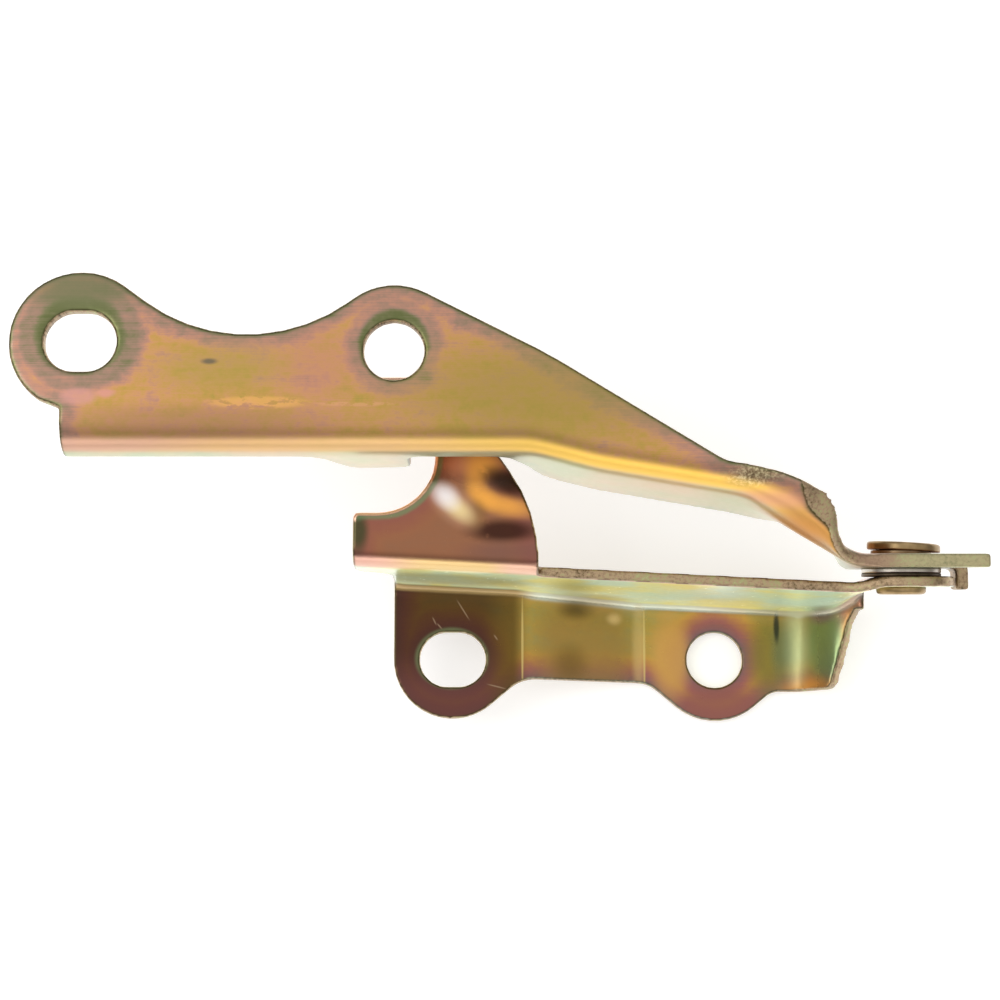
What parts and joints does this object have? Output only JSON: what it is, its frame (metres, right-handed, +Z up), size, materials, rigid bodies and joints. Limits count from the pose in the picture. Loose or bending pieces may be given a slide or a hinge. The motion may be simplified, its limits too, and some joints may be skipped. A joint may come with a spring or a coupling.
{
  "type": "bonnet hinge",
  "caption": "Pressed-steel bonnet hinge: a slotted bonnet arm swings on a stepped body bracket about a riveted pivot, and a lobe drops into a hook when shut.",
  "frame": {"origin": "centre of the body bracket's round bolt hole, on the face that meets the body", "axes": "+X along the car towards the pivot, +Y across the car from the bracket towards the arm, +Z up, away from the body"},
  "size_m": [0.1803, 0.0783, 0.052],
  "materials": {
    "body_bracket": "yellow zinc plate",
    "bonnet_arm": "yellow zinc plate",
    "pivot_rivet": "yellow zinc plate",
    "pivot_bush": "bare",
    "thrust_washer": "dark",
    "head_washer": "plated"
  },
  "bodies": {
    "bracket": {"body_bracket": "body_bracket", "pivot_rivet": "pivot_rivet", "thrust_washer": "thrust_washer", "head_washer": "head_washer"},
    "arm": {"bonnet_arm": "bonnet_arm", "pivot_bush": "pivot_bush"}
  },
  "joints": [
    {"name": "bonnet_swing", "type": "hinge", "parent": "bracket", "child": "arm", "pos_m": [0.0335, 0.01253, 0.025], "axis": [0, 0.9925, 0.1219], "range_deg": [0, 82]}
  ]
}
